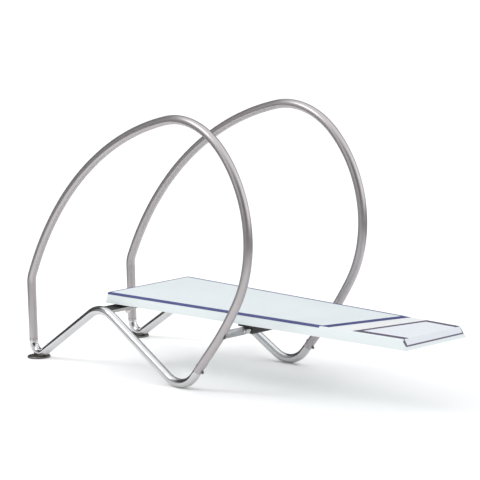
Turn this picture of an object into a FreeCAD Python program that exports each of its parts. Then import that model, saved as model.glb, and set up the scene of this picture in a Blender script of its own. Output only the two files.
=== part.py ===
# A springboard for a pool deck: a moulded board on a stand of bent tubes with two hoop handrails.
# Millimetres. +X runs towards the tip of the board, +Y to the left side, +Z up.
# The origin is on the floor, at the middle of the object's length and width.
# Until the last step, places along X are measured from the centres of the two rear feet.

import FreeCAD, Part
import math
import os

Vector = FreeCAD.Vector

# stand tubes
tube_diameter = 43.0
tube_wall = 2.5
foot_spacing = 660.0
toe_out = 1.65
post_setback = 37.0

# base tube, from the rear post down and forward
foot_tube_clearance = 2.5
seam_above_bend = 5.0
rear_bend_radius = 53.0
ramp_angle = 32.5
peak_bend_radius = 155.0
descent_angle = 30.7
front_bend_radius = 157.0
front_bend_at = 1063.0
riser_angle = 48.0
riser_length = 34.0

# hoop, from the rear post up and forward: bend radii and the angles they turn
kink_radius = 120.0
kink_turn = 25.3
rise_radius = 1550.0
rise_turn = 51.7
crest_radius = 412.0
crest_turn = 57.4
front_radius = 564.0
front_turn = 78.5
lower_radius = 1853.0

# joints between hoop and base tube
spigot_wall = 3.0
spigot_gap = 0.1
spigot_in_hoop = 62.0
spigot_in_base = 5.0
joint_bolt_diameter = 8.0
joint_bolt_above_seam = 20.0
joint_head_diameter = 15.0
joint_head_height = 5.0
joint_nut_width = 13.0
joint_nut_height = 8.0
rivet_diameter = 6.0
rivet_count = 8
rivet_above_seam = 8.0
rivet_proud = 0.6

# feet
foot_disc_diameter = 113.0
foot_sole_thickness = 1.5
foot_disc_top = 8.0
foot_disc_chamfer = 1.5
anchor_circle = 90.0
anchor_hole = 9.0
anchor_count = 4

# rear crossbar and what sits on it
crossbar_rear_edge = 476.0
crossbar_front_edge = 566.0
crossbar_top = 306.0
crossbar_lip = 14.0
crossbar_sheet = 3.0
strip_thickness = 4.0
stud_at = 526.0
stud_spread = 195.0
stud_diameter = 12.0
bush_hole = 20.0
bush_bore = 16.0
bush_diameter = 30.0
bush_below = 18.0
cushion_diameter = 50.0
seat_gap = 1.2
washer_diameter = 30.0
washer_thickness = 2.5
washer_gap = 1.0
stud_nut_width = 19.0
stud_nut_height = 10.0

# front fulcrum
fulcrum_at = 1388.0
fulcrum_height = 295.0
cross_tube_diameter = 35.0
cross_tube_wall = 2.5
stub_wall = 1.5
stub_inner_end = 237.0
stub_overlap = 60.0
saddle_plate_length = 87.0
saddle_plate_width = 472.0
saddle_plate_thickness = 4.0
saddle_body_length = 50.0
saddle_body_width = 406.0
saddle_body_depth = 38.0
saddle_screw_diameter = 6.0
saddle_screw_spread = 150.0
stub_screw_diameter = 8.0
body_gap = 0.3

# board
board_rear = 459.0
board_tip = 2388.0
board_bottom = 324.0
board_height = 48.0
rear_half_width = 270.0
tip_half_width = 189.0
side_draft = 12.0
rear_slant = 4.0
nose_slant = 28.0
corner_radius = 18.0
edge_radius = 7.0
shell_wall = 4.0
panel_thickness = 3.0
tread_thickness = 1.0
stringer_width = 60.0
stringer_clearance = 20.0
anchor_plate_length = 110.0
anchor_plate_width = 440.0
anchor_plate_thickness = 6.0
locating_block_gap = 3.0
locating_block_length = 22.0
locating_block_width = 388.0
locating_block_depth = 27.0

# tread and lines on the board
line_width = 17.0
line_down_side = 7.0
tip_line_width = 36.0
nose_line_width = 9.0
nose_line_height = 346.0
nose_line_thickness = 6.0
wide_line_near = 1889.0
wide_line_far = 2023.0
wide_line_width = 52.0
narrow_line_near = 2068.0
narrow_line_far = 2166.0
narrow_line_width = 28.0
line_end_spread = 200.0

# sizes worked out from the ones above
tube_radius = tube_diameter / 2
bore_radius = tube_radius - tube_wall
rear_bend_height = foot_tube_clearance + tube_radius + rear_bend_radius
rear_seam_height = rear_bend_height + seam_above_bend
board_top = board_bottom + board_height
crossbar_bottom = crossbar_top - crossbar_lip
crossbar_under = crossbar_top - crossbar_sheet
strip_top = crossbar_top + strip_thickness
washer_top = crossbar_under - bush_below - washer_gap
saddle_top = board_bottom - body_gap
object_rear = -(post_setback + tube_radius + rivet_proud) * math.cos(math.radians(toe_out))
centre_x = (object_rear + board_tip) / 2


def box(low, high):
    size = Vector(*high) - Vector(*low)
    return Part.makeBox(size.x, size.y, size.z, Vector(*low))


def rod(start, end, diameter):
    axis = end - start
    return Part.makeCylinder(diameter / 2, axis.Length, start, axis)


def aim(shape, place, direction):
    # turns a shape made along +Z so that it points along direction, and sets it at place
    turn = FreeCAD.Rotation(Vector(0, 0, 1), direction)
    turned = shape.copy()
    turned.Placement = FreeCAD.Placement(place, turn)
    return turned


def hexagon(across_flats, height):
    corner = across_flats / math.sqrt(3)
    points = []
    for step in range(7):
        angle = math.radians(60 * step)
        points.append(Vector(corner * math.cos(angle), corner * math.sin(angle), 0))
    return Part.Face(Part.makePolygon(points)).extrude(Vector(0, 0, height))


def dome(diameter, height):
    # a cap of a sphere, flat side down on z = 0
    radius = (diameter * diameter / 4 + height * height) / (2 * height)
    ball = Part.makeSphere(radius, Vector(0, 0, height - radius))
    above = Part.makeBox(2 * diameter, 2 * diameter, 2 * height, Vector(-diameter, -diameter, 0))
    return ball.common(above)


def dome_nut(across_flats, height, thread, reach):
    # a closed nut along +Z: hexagon, dome, and a blind hole as deep as reach
    body = hexagon(across_flats, height).fuse(aim(dome(across_flats - 1, height * 0.9),
                                                  Vector(0, 0, height), Vector(0, 0, 1)))
    return body.cut(Part.makeCylinder(thread / 2, reach)).removeSplitter()


def bend_path(start, heading, moves):
    # each move is a straight run, then a bend of a radius through a turn (left turns positive)
    edges = []
    point = start
    angle = math.radians(heading)
    for run, radius, turn in moves:
        if run > 0:
            end = point + Vector(math.cos(angle), 0, math.sin(angle)) * run
            edges.append(Part.LineSegment(point, end).toShape())
            point = end
        if turn != 0:
            reach = math.copysign(radius, turn)
            centre = point - Vector(math.sin(angle), 0, -math.cos(angle)) * reach
            middle = angle + math.radians(turn) / 2
            angle = angle + math.radians(turn)
            halfway = centre + Vector(math.sin(middle), 0, -math.cos(middle)) * reach
            end = centre + Vector(math.sin(angle), 0, -math.cos(angle)) * reach
            edges.append(Part.Arc(point, halfway, end).toShape())
            point = end
    return edges, point


def two_runs(gap, first_heading, second_heading):
    # the lengths along two headings that together cover the gap
    first = Vector(math.cos(math.radians(first_heading)), 0, math.sin(math.radians(first_heading)))
    second = Vector(math.cos(math.radians(second_heading)), 0, math.sin(math.radians(second_heading)))
    spread = first.x * second.z - first.z * second.x
    return (gap.x * second.z - gap.z * second.x) / spread, (first.x * gap.z - first.z * gap.x) / spread


def pipe(edges, diameter):
    path = Part.Wire(edges)
    start = edges[0].valueAt(edges[0].FirstParameter)
    ring = Part.Circle(start, edges[0].tangentAt(edges[0].FirstParameter), diameter / 2)
    return path.makePipeShell([Part.Wire([ring.toShape()])], True, False)


def stand_side(shape, side):
    # sets a piece drawn in the XZ plane into the left (+1) or right (-1) side of the stand
    placed = shape.copy()
    placed.rotate(Vector(0, 0, 0), Vector(0, 0, 1), side * toe_out)
    placed.translate(Vector(0, side * foot_spacing / 2, 0))
    return placed


# centre lines of the base tube and of the hoop, in the XZ plane
rear_seam = Vector(-post_setback, 0, rear_seam_height)
valley = Vector(front_bend_at, 0, tube_radius)


def base_moves(ramp_run, descent_run, last_turn, riser_run):
    return [
        (seam_above_bend, rear_bend_radius, 90 + ramp_angle),
        (ramp_run, peak_bend_radius, -ramp_angle - descent_angle),
        (descent_run, front_bend_radius, last_turn),
        (riser_run, 0, 0),
    ]


valley_without_runs = bend_path(rear_seam, -90, base_moves(0, 0, descent_angle, 0))[1]
ramp_run, descent_run = two_runs(valley - valley_without_runs, ramp_angle, -descent_angle)
base_path, front_seam = bend_path(
    rear_seam, -90, base_moves(ramp_run, descent_run, descent_angle + riser_angle, riser_length))


def hoop_moves(post_run, leg_run):
    lower_turn = 270 - riser_angle - kink_turn - rise_turn - crest_turn - front_turn
    return [
        (post_run, kink_radius, -kink_turn),
        (0, rise_radius, -rise_turn),
        (0, crest_radius, -crest_turn),
        (0, front_radius, -front_turn),
        (0, lower_radius, -lower_turn),
        (leg_run, 0, 0),
    ]


hoop_end_without_runs = bend_path(rear_seam, 90, hoop_moves(0, 0))[1]
post_run, leg_run = two_runs(front_seam - hoop_end_without_runs, 90, riser_angle - 180)
hoop_path = bend_path(rear_seam, 90, hoop_moves(post_run, leg_run))[0]

up = Vector(0, 0, 1)
riser_direction = Vector(math.cos(math.radians(riser_angle)), 0, math.sin(math.radians(riser_angle)))
riser_across = Vector(-riser_direction.z, 0, riser_direction.x)
joint_bolt_centre = front_seam + riser_direction * joint_bolt_above_seam
rivet_centre = rear_seam + up * rivet_above_seam


def spigot(seam, direction):
    outer = 2 * (bore_radius - spigot_gap)
    start = seam - direction * spigot_in_base
    end = seam + direction * spigot_in_hoop
    return rod(start, end, outer).cut(rod(start, end, outer - 2 * spigot_wall))


def joint_bolt():
    head_seat = joint_bolt_centre + riser_across * tube_radius
    tail = joint_bolt_centre - riser_across * (tube_radius + joint_nut_height)
    # the seat is cut to the round of the tube, so the head stands on it all round
    head = aim(dome(joint_head_diameter, joint_head_height), head_seat, riser_across)
    return head.fuse(rod(tail, head_seat, joint_bolt_diameter)).removeSplitter()


def joint_nut():
    seat = joint_bolt_centre - riser_across * tube_radius
    nut = dome_nut(joint_nut_width, joint_nut_height, joint_bolt_diameter, joint_nut_height)
    return aim(nut, seat, riser_across * -1)


def rivet_rods(inner_radius, outer_radius):
    rods = []
    for step in range(rivet_count):
        angle = 2 * math.pi * step / rivet_count
        outward = Vector(math.cos(angle), math.sin(angle), 0)
        start = rivet_centre + outward * inner_radius
        end = rivet_centre + outward * outer_radius
        rods.append(rod(start, end, rivet_diameter))
    return rods


rivet_inner = bore_radius - spigot_gap - spigot_wall
rivet_outer = tube_radius + rivet_proud
joint_bolt_hole = rod(joint_bolt_centre - riser_across * 40, joint_bolt_centre + riser_across * 40,
                      joint_bolt_diameter)
rivets = rivet_rods(rivet_inner, rivet_outer)
rivet_holes = rivet_rods(rivet_inner - rivet_diameter, rivet_outer + rivet_diameter)
hoop_outer = pipe(hoop_path, tube_diameter)
base_outer = pipe(base_path, tube_diameter)
hoop = hoop_outer.cut(pipe(hoop_path, 2 * bore_radius)).cut(joint_bolt_hole)
base = base_outer.cut(pipe(base_path, 2 * bore_radius))
rear_spigot = spigot(rear_seam, up)
front_spigot = spigot(front_seam, riser_direction).cut(joint_bolt_hole)
for hole in rivet_holes:
    hoop = hoop.cut(hole)
    rear_spigot = rear_spigot.cut(hole)


def foot_plate(low, high, chamfer):
    plate = Part.makeCylinder(foot_disc_diameter / 2, high - low, Vector(0, 0, low))
    if chamfer > 0:
        rim = [edge for edge in plate.Edges if abs(edge.BoundBox.ZMin - high) < 0.01
               and edge.BoundBox.ZLength < 0.01]
        plate = plate.makeChamfer(chamfer, rim)
    for step in range(anchor_count):
        angle = 2 * math.pi * (step + 0.5) / anchor_count
        spot = Vector(math.cos(angle), math.sin(angle), 0) * (anchor_circle / 2)
        plate = plate.cut(Part.makeCylinder(anchor_hole / 2, high, spot))
    return plate


foot_sole = foot_plate(0, foot_sole_thickness, 0)
foot_disc = foot_plate(foot_sole_thickness, foot_disc_top, foot_disc_chamfer).cut(base_outer)

pieces = {}
for side, name in ((1, "left"), (-1, "right")):
    pieces["hoop_" + name] = stand_side(hoop, side)
    pieces["base_tube_" + name] = stand_side(base, side)
    pieces["rear_spigot_" + name] = stand_side(rear_spigot, side)
    pieces["front_spigot_" + name] = stand_side(front_spigot, side)
    pieces["foot_disc_" + name] = stand_side(foot_disc, side)
    pieces["foot_sole_" + name] = stand_side(foot_sole, side)
pieces["front_joint_bolts"] = Part.makeCompound(
    [stand_side(joint_bolt().cut(hoop_outer.cut(joint_bolt_hole)), side) for side in (1, -1)])
pieces["front_joint_nuts"] = Part.makeCompound(
    [stand_side(joint_nut().cut(hoop_outer), side) for side in (1, -1)])
pieces["rear_joint_rivets"] = Part.makeCompound(
    [stand_side(rivet, side) for side in (1, -1) for rivet in rivets])

both_bases = stand_side(base_outer, 1).fuse(stand_side(base_outer, -1))
both_hoops = stand_side(hoop_outer, 1).fuse(stand_side(hoop_outer, -1))


def at_studs(shape):
    # one copy of a round shape at each of the two studs
    copies = []
    for side in (1, -1):
        copy = shape.copy()
        copy.translate(Vector(stud_at, side * stud_spread, 0))
        copies.append(copy)
    return copies


def column(diameter, low, high):
    return Part.makeCylinder(diameter / 2, high - low, Vector(0, 0, low))


def stretch_between_bases(low_x, low_z, high_x, high_z):
    # a bar across the stand whose ends are cut to the round of the base tubes
    half = foot_spacing / 2 + stud_at * math.sin(math.radians(toe_out))
    bar = box((low_x, -half, low_z), (high_x, half, high_z)).cut(both_bases)
    return max(bar.Solids, key=lambda solid: solid.Volume)


crossbar = stretch_between_bases(crossbar_rear_edge, crossbar_bottom, crossbar_front_edge, crossbar_top)
crossbar = crossbar.cut(box((crossbar_rear_edge + crossbar_sheet, -foot_spacing, 0),
                            (crossbar_front_edge - crossbar_sheet, foot_spacing, crossbar_under)))
strip = stretch_between_bases(crossbar_rear_edge, crossbar_top, crossbar_front_edge, strip_top)
bush = column(bush_diameter, crossbar_under - bush_below, crossbar_under)
bush = bush.fuse(column(bush_hole, crossbar_under, strip_top)).removeSplitter()
bush = bush.cut(column(bush_bore, crossbar_under - bush_below, strip_top))
for hole in at_studs(column(bush_hole, crossbar_bottom, strip_top)):
    crossbar = crossbar.cut(hole)
    strip = strip.cut(hole)
cushion = column(cushion_diameter, strip_top, board_bottom - seat_gap)
cushion = cushion.cut(column(bush_bore, strip_top, board_bottom))
pieces["rear_crossbar"] = crossbar
pieces["crossbar_strip"] = strip
pieces["stud_bushes"] = Part.makeCompound(at_studs(bush))
pieces["rear_cushions"] = Part.makeCompound(at_studs(cushion))

# front fulcrum: two stubs on the hoops, a cross tube plugged into them, a saddle and its pad
hoop_at_fulcrum = foot_spacing / 2 + fulcrum_at * math.sin(math.radians(toe_out))


def across(y_low, y_high, diameter):
    start = Vector(fulcrum_at, y_low, fulcrum_height)
    return rod(start, Vector(fulcrum_at, y_high, fulcrum_height), diameter)


def stub(side):
    inner = min(side * stub_inner_end, side * hoop_at_fulcrum)
    outer = max(side * stub_inner_end, side * hoop_at_fulcrum)
    sleeve = across(inner, outer, cross_tube_diameter + 2 * stub_wall).cut(both_hoops)
    sleeve = max(sleeve.Solids, key=lambda solid: solid.Volume)
    sleeve = sleeve.cut(across(inner, outer, cross_tube_diameter))
    return sleeve.cut(stub_screw(side))


def stub_screw(side):
    start = Vector(fulcrum_at, side * (stub_inner_end + 15), fulcrum_height)
    low = cross_tube_diameter / 2 - cross_tube_wall
    high = cross_tube_diameter / 2 + stub_wall + 0.5
    return rod(start + Vector(low, 0, 0), start + Vector(high, 0, 0), stub_screw_diameter)


cross_tube_half = stub_inner_end + stub_overlap
cross_tube = across(-cross_tube_half, cross_tube_half, cross_tube_diameter)
cross_tube = cross_tube.cut(across(-cross_tube_half, cross_tube_half,
                                   cross_tube_diameter - 2 * cross_tube_wall))
for side, name in ((1, "left"), (-1, "right")):
    pieces["fulcrum_stub_" + name] = stub(side)
    cross_tube = cross_tube.cut(stub_screw(side))
pieces["stub_screws"] = Part.makeCompound([stub_screw(1), stub_screw(-1)])
pieces["fulcrum_tube"] = cross_tube

pad_thickness = saddle_top - fulcrum_height - cross_tube_diameter / 2 - saddle_plate_thickness - 0.5
plate_top = saddle_top - pad_thickness
plate_bottom = plate_top - saddle_plate_thickness
body_bottom = plate_bottom - saddle_body_depth


def fulcrum_slab(length, width, low, high):
    return box((fulcrum_at - length / 2, -width / 2, low), (fulcrum_at + length / 2, width / 2, high))


saddle = fulcrum_slab(saddle_plate_length, saddle_plate_width, plate_bottom, plate_top)
saddle_body = fulcrum_slab(saddle_body_length, saddle_body_width, body_bottom, plate_bottom)
low_edges = [edge for edge in saddle_body.Edges if edge.BoundBox.ZMax < body_bottom + 0.01
             and edge.BoundBox.YLength > 1]
saddle = saddle.fuse(saddle_body.makeFillet(8, low_edges)).removeSplitter()
saddle = saddle.cut(across(-foot_spacing, foot_spacing, cross_tube_diameter))
saddle_screws = []
for side in (1, -1):
    foot = Vector(fulcrum_at, side * saddle_screw_spread, body_bottom)
    top = Vector(fulcrum_at, side * saddle_screw_spread, fulcrum_height - cross_tube_diameter / 2)
    shank = rod(foot, top + Vector(0, 0, cross_tube_wall), saddle_screw_diameter)
    head = aim(dome(2 * saddle_screw_diameter, 3), foot, Vector(0, 0, -1))
    saddle_screws.append(shank.fuse(head).removeSplitter())
    saddle = saddle.cut(shank)
    pieces["fulcrum_tube"] = pieces["fulcrum_tube"].cut(shank)
pieces["fulcrum_saddle"] = saddle
pieces["saddle_screws"] = Part.makeCompound(saddle_screws)
pieces["fulcrum_pad"] = fulcrum_slab(saddle_plate_length, saddle_plate_width, plate_top, saddle_top)


# board: a block with drafted sides, which is grown or shrunk to make the shell and what lies on it
def outline(height, grow):
    # the board's plan at a height, with rounded corners, made larger all round by grow
    down = (board_top - height) / board_height
    rear = board_rear - rear_slant * down - grow
    front = board_tip - nose_slant * (1 - down) + grow
    taper = (rear_half_width - tip_half_width) / (board_tip - board_rear)
    half_rear = rear_half_width + side_draft * down + grow + taper * (board_rear - rear)
    half_front = tip_half_width + side_draft * down + grow + taper * (board_tip - front)
    radius = corner_radius + grow
    corners = [Vector(rear, -half_rear, height), Vector(front, -half_front, height),
               Vector(front, half_front, height), Vector(rear, half_rear, height)]
    ends = []
    for index, corner in enumerate(corners):
        back = (corners[index - 1] - corner).normalize()
        ahead = (corners[(index + 1) % 4] - corner).normalize()
        half_angle = back.getAngle(ahead) / 2
        reach = radius / math.tan(half_angle)
        centre = corner + (back + ahead).normalize() * (radius / math.sin(half_angle))
        nearest = centre - (back + ahead).normalize() * radius
        ends.append((corner + back * reach, nearest, corner + ahead * reach))
    edges = []
    for index, (entry, nearest, leave) in enumerate(ends):
        edges.append(Part.Arc(entry, nearest, leave).toShape())
        edges.append(Part.LineSegment(leave, ends[(index + 1) % 4][0]).toShape())
    return Part.Wire(edges)


def board_block(low, high, grow, rounding):
    block = Part.makeLoft([outline(low, grow), outline(high, grow)], True, True)
    if rounding > 0:
        rim = [edge for edge in block.Edges if edge.BoundBox.ZMin > high - 0.01]
        block = block.makeFillet(rounding, rim)
    return block


def half_width_at(x):
    share = (x - board_rear) / (board_tip - board_rear)
    return rear_half_width + (tip_half_width - rear_half_width) * share


def plan_prism(points, low, high):
    corners = [Vector(x, y, low) for x, y in points]
    corners.append(corners[0])
    return Part.Face(Part.makePolygon(corners)).extrude(Vector(0, 0, high - low))


def tread_plan(rear, front, side_margin):
    # a tapered strip along the board, inside its edges by side_margin
    rear_half = half_width_at(rear) - side_margin
    front_half = half_width_at(front) - side_margin
    return [(rear, -rear_half), (front, -front_half), (front, front_half), (rear, rear_half)]


def slanted_band(near_x, far_x, width):
    # a band across the board from near_x on the right edge to far_x on the left edge
    run = Vector(far_x - near_x, 2 * line_end_spread, 0)
    beyond = run * 0.3
    aside = Vector(run.y, -run.x, 0).normalize() * (width / 2)
    start = Vector(near_x, -line_end_spread, 0) - beyond
    end = Vector(far_x, line_end_spread, 0) + beyond
    corners = [start - aside, start + aside, end + aside, end - aside]
    return [(corner.x, corner.y) for corner in corners]


outer_block = board_block(board_bottom, board_top, 0, edge_radius)
cavity_top = board_top - shell_wall
cavity = board_block(board_bottom, cavity_top, -shell_wall, 0)
shell = outer_block.cut(cavity)
skin = board_block(board_bottom, board_top + tread_thickness, tread_thickness,
                   edge_radius + tread_thickness).cut(outer_block)

skin_low = board_bottom - 5
skin_high = board_top + 5
main_rear = board_rear + line_width
crease = board_tip - nose_slant
wide_line = plan_prism(slanted_band(wide_line_near, wide_line_far, wide_line_width), skin_low, skin_high)
narrow_line = plan_prism(slanted_band(narrow_line_near, narrow_line_far, narrow_line_width),
                         skin_low, skin_high)
top_zone = box((0, -500, board_top - line_down_side), (3000, 500, skin_high))
flat_zone = plan_prism(tread_plan(board_rear, board_tip + 5, edge_radius), nose_line_height, skin_high)
inner_plan = plan_prism(tread_plan(main_rear, board_tip + 5, line_width), skin_low, skin_high)
tip_inner_plan = plan_prism(tread_plan(main_rear, crease, tip_line_width), skin_low, skin_high)
nose_plan = plan_prism(tread_plan(crease, board_tip + 5, nose_line_width), skin_low, skin_high)
nose_zone = plan_prism(tread_plan(crease, board_tip + 5, 0), skin_low, skin_high)
above_nose_line = box((0, -500, nose_line_height), (3000, 500, skin_high))
below_nose_line = box((0, -500, nose_line_height - nose_line_thickness), (3000, 500, nose_line_height))


def ahead_of(near_x, far_x):
    band = slanted_band(near_x, far_x, 0.01)
    start, end = band[1], band[2]
    return plan_prism([start, (4000, start[1]), (4000, end[1]), end], skin_low, skin_high)


past_wide = ahead_of(wide_line_near, wide_line_far)
past_narrow = ahead_of(narrow_line_near, narrow_line_far)
main_zone = skin.cut(past_wide).cut(wide_line)
tip_zone = skin.common(past_narrow).cut(narrow_line)
tip_flat = tip_zone.cut(nose_zone).common(flat_zone)
tip_nose = tip_zone.common(nose_zone)


def largest_solid(shape):
    return max(shape.Solids, key=lambda solid: solid.Volume)


band_zone = skin.common(past_wide).cut(past_narrow).cut(wide_line).cut(narrow_line)
pieces["board_shell"] = shell
pieces["main_tread"] = largest_solid(main_zone.common(inner_plan).common(flat_zone))
pieces["edge_line"] = largest_solid(main_zone.common(top_zone).cut(inner_plan))
pieces["wide_cross_line"] = largest_solid(skin.common(wide_line).common(flat_zone))
pieces["white_band"] = largest_solid(band_zone.common(flat_zone))
pieces["narrow_cross_line"] = largest_solid(skin.common(narrow_line).common(flat_zone))
tip_tread = tip_flat.common(tip_inner_plan)
tip_tread = tip_tread.fuse(tip_nose.common(nose_plan).common(above_nose_line))
pieces["tip_tread"] = largest_solid(tip_tread.removeSplitter())
tip_line = tip_flat.cut(tip_inner_plan)
tip_line = tip_line.fuse(tip_nose.common(above_nose_line).cut(nose_plan))
tip_line = tip_line.fuse(tip_nose.common(below_nose_line))
pieces["tip_line"] = largest_solid(tip_line.removeSplitter())

# inside the board: three stringers, an anchor plate for the studs, and the closing panel
panel_top = board_bottom + panel_thickness
panel = board_block(board_bottom, panel_top, -shell_wall, 0)
plate_low = panel_top
plate_high = plate_low + anchor_plate_thickness
anchor_plate = box((stud_at - anchor_plate_length / 2, -anchor_plate_width / 2, plate_low),
                   (stud_at + anchor_plate_length / 2, anchor_plate_width / 2, plate_high))
stringer_rear = board_rear + stringer_clearance
stringer_front = board_tip - nose_slant - stringer_clearance
front_spread = tip_half_width - shell_wall - stringer_clearance - stringer_width / 2
rear_spread = rear_half_width - shell_wall - stringer_clearance - stringer_width / 2


def stringer(side):
    half = stringer_width / 2
    points = [
        (stringer_rear, side * rear_spread - half),
        (stringer_front, side * front_spread - half),
        (stringer_front, side * front_spread + half),
        (stringer_rear, side * rear_spread + half),
    ]
    beam = plan_prism(points, panel_top, cavity_top)
    return beam.cut(box((0, -500, plate_low), (stud_at + anchor_plate_length / 2, 500, plate_high)))


for side, name in ((1, "left"), (0, "middle"), (-1, "right")):
    pieces["stringer_" + name] = stringer(side)
stud_low = washer_top - washer_thickness - stud_nut_height
stud = column(stud_diameter, stud_low, plate_high)
washer = column(washer_diameter, washer_top - washer_thickness, washer_top)
washer = washer.cut(column(stud_diameter, stud_low, washer_top))
nut = aim(dome_nut(stud_nut_width, stud_nut_height, stud_diameter, stud_nut_height),
          Vector(0, 0, washer_top - washer_thickness), Vector(0, 0, -1))
for hole in at_studs(column(stud_diameter, board_bottom, plate_high)):
    panel = panel.cut(hole)
    anchor_plate = anchor_plate.cut(hole)
block_rear = crossbar_front_edge + locating_block_gap
locating_block = box((block_rear, -locating_block_width / 2, board_bottom - locating_block_depth),
                     (block_rear + locating_block_length, locating_block_width / 2, board_bottom))
block_edges = [edge for edge in locating_block.Edges
               if edge.BoundBox.ZMax < board_bottom - locating_block_depth + 0.01]
pieces["board_panel"] = panel
pieces["anchor_plate"] = anchor_plate
pieces["board_studs"] = Part.makeCompound(at_studs(stud))
pieces["stud_washers"] = Part.makeCompound(at_studs(washer))
pieces["stud_nuts"] = Part.makeCompound(at_studs(nut))
pieces["locating_block"] = locating_block.makeFillet(4, block_edges)

os.makedirs("parts", exist_ok=True)
for name, shape in pieces.items():
    shape.translate(Vector(-centre_x, 0, 0))
    shape.exportStep("parts/" + name + ".step")
    print(name, len(shape.Solids), "solids, valid", shape.isValid(), "volume", round(shape.Volume))
print("hinge axis at x", round(stud_at - centre_x, 3), "centre", round(centre_x, 3))
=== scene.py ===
import math

import bmesh
import bpy
import numpy as np
from mathutils import Matrix, Vector


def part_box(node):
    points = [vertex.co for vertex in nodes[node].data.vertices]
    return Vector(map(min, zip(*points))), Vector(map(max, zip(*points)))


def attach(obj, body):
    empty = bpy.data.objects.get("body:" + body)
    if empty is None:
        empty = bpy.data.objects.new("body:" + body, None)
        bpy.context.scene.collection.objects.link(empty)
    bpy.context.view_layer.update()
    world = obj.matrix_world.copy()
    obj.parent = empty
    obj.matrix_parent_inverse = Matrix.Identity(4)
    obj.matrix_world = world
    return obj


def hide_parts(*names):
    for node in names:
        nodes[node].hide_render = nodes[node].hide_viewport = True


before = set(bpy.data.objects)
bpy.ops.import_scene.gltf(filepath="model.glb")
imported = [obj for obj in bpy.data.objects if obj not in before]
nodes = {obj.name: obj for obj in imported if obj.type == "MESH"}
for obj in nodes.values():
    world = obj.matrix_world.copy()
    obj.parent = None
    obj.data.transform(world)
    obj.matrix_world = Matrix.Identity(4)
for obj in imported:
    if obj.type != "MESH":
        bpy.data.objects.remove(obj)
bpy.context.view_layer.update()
print("frame loaded,", len(nodes), "nodes")


# shader node helpers

# what the shared effects are made of; sizes that differ between finishes are in the finishes below
effects = {
    "lineDetail": 3.0,
    "cloudDetail": 4.0,
    "smudgeContrast": 2.2,
    "spotShare": 0.45,
    "grimeScale": 60.0,
    "grimeGain": 1.6,
    "grimeRoughness": 0.35,
}


def addNode(tree, kind, settings=None, **inputs):
    # a node with its settings; inputs are linked from sockets or set to values. In an input's name _ stands
    # for a space, and i0 is the input with index 0
    node = tree.nodes.new(kind)
    for key, value in (settings or {}).items():
        setattr(node, key, value)
    for key, value in inputs.items():
        socket = node.inputs[int(key[1:])] if key[1:].isdigit() else node.inputs[key.replace("_", " ")]
        if isinstance(value, bpy.types.NodeSocket):
            tree.links.new(value, socket)
        else:
            socket.default_value = value
    return node


def startGroup(name, inputs, outputs):
    # an empty node group with its sockets; an input without a default is a vector
    group = bpy.data.node_groups.new(name, "ShaderNodeTree")
    for label, default in inputs.items():
        kind = "NodeSocketVector" if default is None else "NodeSocketFloat"
        socket = group.interface.new_socket(name=label, in_out="INPUT", socket_type=kind)
        if default is not None:
            socket.default_value = default
    for label in outputs:
        group.interface.new_socket(name=label, in_out="OUTPUT", socket_type="NodeSocketFloat")
    return group, group.nodes.new("NodeGroupInput"), group.nodes.new("NodeGroupOutput")


def useGroup(tree, group, **inputs):
    return addNode(tree, "ShaderNodeGroup", {"node_tree": group}, **inputs)


def math2(tree, operation, first, second=0.0, clamp=False):
    return addNode(tree, "ShaderNodeMath", {"operation": operation, "use_clamp": clamp},
                   i0=first, i1=second).outputs[0]


def makeCloudGroup():
    # soft blotches: fractal noise of a size in metres, pushed towards black and white by Contrast
    group, source, sink = startGroup("softClouds", {"Vector": None, "Size": 0.1, "Contrast": 1.5},
                                     ["Cloud"])
    scale = math2(group, "DIVIDE", 1.0, source.outputs["Size"])
    noise = addNode(group, "ShaderNodeTexNoise", Vector=source.outputs["Vector"], Scale=scale,
                    Detail=effects["cloudDetail"], Roughness=0.55)
    centred = math2(group, "SUBTRACT", noise.outputs["Fac"], 0.5)
    spread = math2(group, "MULTIPLY", centred, source.outputs["Contrast"])
    group.links.new(math2(group, "ADD", spread, 0.5, True), sink.inputs["Cloud"])
    return group


def makeBrushGroup():
    # fine drawn lines: noise squeezed across the surface and stretched along it, in lines per metre
    group, source, sink = startGroup("drawnLines", {"Vector": None, "Across": 2500.0, "Along": 25.0},
                                     ["Lines"])
    scale = addNode(group, "ShaderNodeCombineXYZ", X=source.outputs["Across"], Y=source.outputs["Along"],
                    Z=source.outputs["Across"])
    stretched = addNode(group, "ShaderNodeVectorMath", {"operation": "MULTIPLY"},
                        i0=source.outputs["Vector"], i1=scale.outputs[0])
    noise = addNode(group, "ShaderNodeTexNoise", Vector=stretched.outputs[0], Scale=1.0,
                    Detail=effects["lineDetail"], Roughness=0.6)
    group.links.new(noise.outputs["Fac"], sink.inputs["Lines"])
    return group


def makeGritGroup():
    # sand set in resin: round grains from the distance to the nearest random point, broken up by noise
    group, source, sink = startGroup("gritGrains", {"Vector": None, "Size": 0.002}, ["Height", "Tint"])
    scale = math2(group, "DIVIDE", 1.0, source.outputs["Size"])
    grains = addNode(group, "ShaderNodeTexVoronoi", Vector=source.outputs["Vector"], Scale=scale,
                     Randomness=1.0)
    noise = addNode(group, "ShaderNodeTexNoise", Vector=source.outputs["Vector"], Scale=scale, Detail=2.0)
    dome = math2(group, "SUBTRACT", 1.0, grains.outputs["Distance"], True)
    group.links.new(math2(group, "MULTIPLY", dome, noise.outputs["Fac"]), sink.inputs["Height"])
    shade = addNode(group, "ShaderNodeSeparateColor", Color=grains.outputs["Color"])
    group.links.new(shade.outputs[0], sink.inputs["Tint"])
    return group


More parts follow.
